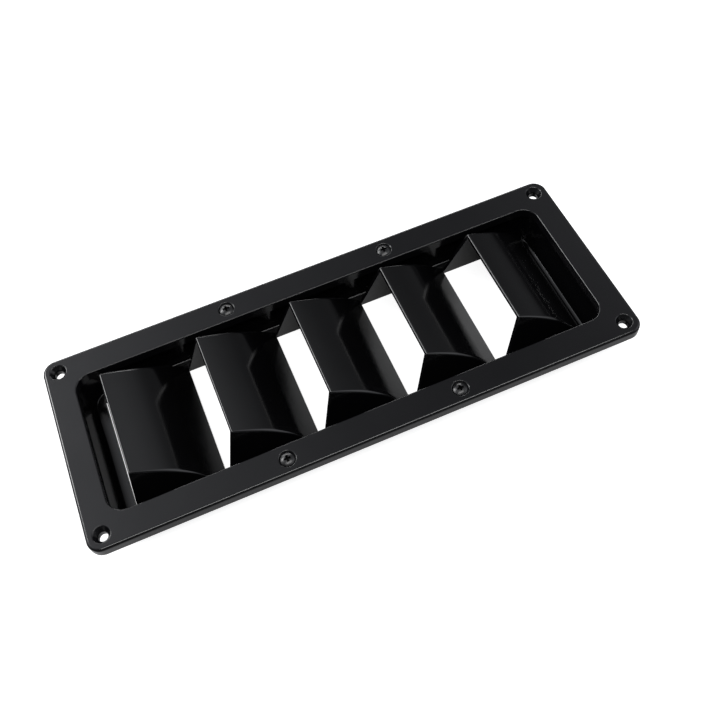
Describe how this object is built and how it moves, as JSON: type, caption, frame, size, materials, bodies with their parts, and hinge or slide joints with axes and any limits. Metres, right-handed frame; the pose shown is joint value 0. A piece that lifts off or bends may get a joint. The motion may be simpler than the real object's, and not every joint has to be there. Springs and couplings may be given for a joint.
{
  "type": "louvred vent grille",
  "caption": "Rectangular recessed vent grille with raised louvre hoods opening one way, a screwed-on front frame and countersunk corner holes.",
  "frame": {"origin": "under the middle of the well's floor, where the vent rests on a table", "axes": "+Z out of the panel through the front frame, +X along the length, away from the louvre mouths, +Y across the width"},
  "size_m": [0.325, 0.1234, 0.0418],
  "materials": {
    "frame_plastic": "black moulded ABS, fine satin gloss",
    "tub_plastic": "black moulded ABS, polished on the hoods",
    "screw_black": "black coated stainless steel screw"
  },
  "bodies": {
    "root": {"front_frame": "frame_plastic", "louvre_tub": "tub_plastic", "screw_left_near": "screw_black", "screw_left_far": "screw_black", "screw_right_near": "screw_black", "screw_right_far": "screw_black"}
  },
  "joints": []
}
